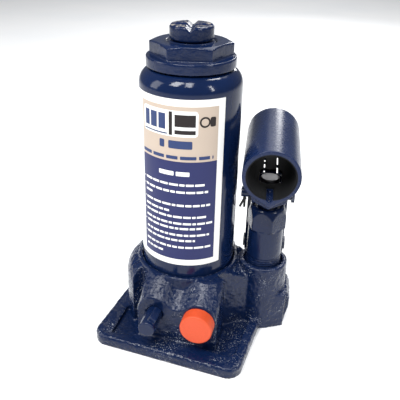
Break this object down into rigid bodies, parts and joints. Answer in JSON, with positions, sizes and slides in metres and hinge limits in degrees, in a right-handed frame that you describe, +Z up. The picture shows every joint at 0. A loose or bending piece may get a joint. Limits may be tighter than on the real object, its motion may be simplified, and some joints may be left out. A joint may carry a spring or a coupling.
{
  "type": "hydraulic bottle jack",
  "caption": "Hydraulic bottle jack with a lifting ram, screw-out saddle, hand pump with a tubular handle socket, and release valve on a cast base.",
  "frame": {"origin": "on the floor, under the axis of the oil tank, ram and saddle", "axes": "+Z up along the ram; -Y towards the front, with the release valve and the capped safety valve; +X towards the pump"},
  "size_m": [0.1092, 0.1011, 0.1822],
  "materials": {
    "cast_paint": "gloss navy over sand-cast iron",
    "tank_paint": "gloss navy",
    "nut_paint": "gloss navy over machined steel",
    "saddle_paint": "worn navy over forged steel",
    "pump_paint": "gloss navy",
    "socket_paint": "satin navy over rolled sheet",
    "pin_black": "black phosphate",
    "ram_steel": "ground and hard chromed",
    "turned_steel": "turned",
    "ball_steel": "polished bearing steel",
    "spring_steel": "oiled",
    "copper": "annealed copper washer",
    "seal_rubber": "matte",
    "plug_rubber": "matte",
    "label_film": "printed vinyl",
    "cap_orange": "matte moulded polyethylene"
  },
  "bodies": {
    "jack_body": {"base_casting": "cast_paint", "tank_gasket": "seal_rubber", "reservoir_tube": "tank_paint", "cylinder_gasket": "copper", "main_cylinder": "turned_steel", "top_nut": "nut_paint", "ram_wiper": "seal_rubber", "tank_label": "label_film", "pump_gasket": "copper", "pump_cylinder": "pump_paint", "pump_packing": "seal_rubber", "lug_rivet": "pump_paint", "safety_spring": "spring_steel", "safety_screw": "turned_steel", "passage_plugs": "ball_steel"},
    "ram": {"main_ram": "ram_steel", "piston_seal": "seal_rubber", "piston_washer": "turned_steel", "piston_clip": "spring_steel"},
    "stop_ring": {"screw_stop_ring": "turned_steel"},
    "saddle_screw": {"extension_screw": "saddle_paint"},
    "plunger": {"pump_plunger": "turned_steel", "plunger_seal": "seal_rubber"},
    "socket": {"handle_socket": "socket_paint", "plunger_pin": "pump_paint", "rear_pin": "pump_paint", "plunger_split_pin": "pin_black", "rear_split_pin": "pin_black"},
    "link": {"pump_link": "pump_paint"},
    "valve_ball": {"release_ball": "ball_steel"},
    "valve_screw": {"release_screw": "nut_paint", "release_oring": "seal_rubber"},
    "inlet_check": {"inlet_ball": "ball_steel"},
    "outlet_check": {"outlet_ball": "ball_steel"},
    "safety_check": {"safety_ball": "ball_steel"},
    "filler": {"filler_plug": "plug_rubber"},
    "dust_cap": {"safety_cap": "cap_orange"}
  },
  "joints": [
    {"name": "ram_lift", "type": "slide", "parent": "jack_body", "child": "ram", "axis": [0, 0, 1], "range_m": [0, 0.113]},
    {"name": "screw_rise", "type": "slide", "parent": "ram", "child": "stop_ring", "axis": [0, 0, 1], "range_m": [0, 0.0481]},
    {"name": "screw_turn", "type": "hinge", "parent": "stop_ring", "child": "saddle_screw", "pos_m": [0, 0, 0.17], "axis": [0, 0, 1], "range_deg": [0, 5760]},
    {"name": "plunger_stroke", "type": "slide", "parent": "jack_body", "child": "plunger", "axis": [0, 0, 1], "range_m": [0, 0.0128]},
    {"name": "handle_pump", "type": "hinge", "parent": "plunger", "child": "socket", "pos_m": [0.0457, 0.0098, 0.0888], "axis": [-0.9781, -0.2079, 0], "range_deg": [0, 35]},
    {"name": "link_tilt", "type": "hinge", "parent": "jack_body", "child": "link", "pos_m": [0.04102, 0.03181, 0.0425], "axis": [0.9781, 0.2079, 0], "range_deg": [0, 4.2]},
    {"name": "valve_travel", "type": "slide", "parent": "jack_body", "child": "valve_ball", "axis": [0.0872, -0.9962, 0], "range_m": [0, 0.0019]},
    {"name": "valve_turn", "type": "hinge", "parent": "valve_ball", "child": "valve_screw", "pos_m": [-0.00537, -0.04183, 0.0248], "axis": [0.0872, -0.9962, 0], "range_deg": [0, 540]},
    {"name": "inlet_lift", "type": "slide", "parent": "jack_body", "child": "inlet_check", "axis": [0, 0, 1], "range_m": [0, 0.001]},
    {"name": "outlet_lift", "type": "slide", "parent": "jack_body", "child": "outlet_check", "axis": [0, 0, 1], "range_m": [0, 0.001]},
    {"name": "safety_lift", "type": "slide", "parent": "jack_body", "child": "safety_check", "axis": [0.0872, -0.9962, 0], "range_m": [0, 0.0006], "deforming": ["safety_spring"]},
    {"name": "filler_pull", "type": "slide", "parent": "jack_body", "child": "filler", "axis": [0, 1, 0], "range_m": [0, 0.014]},
    {"name": "cap_pull", "type": "slide", "parent": "jack_body", "child": "dust_cap", "axis": [0.0872, -0.9962, 0], "range_m": [0, 0.012]}
  ],
  "couplings": [
    {"joint": "screw_rise", "follows": "screw_turn", "m_per_rad": 0.00047746},
    {"joint": "plunger_stroke", "follows": "handle_pump", "m_per_rad": 0.02071},
    {"joint": "link_tilt", "follows": "handle_pump", "ratio": 0.1178},
    {"joint": "valve_travel", "follows": "valve_turn", "m_per_rad": 0.00019894}
  ]
}
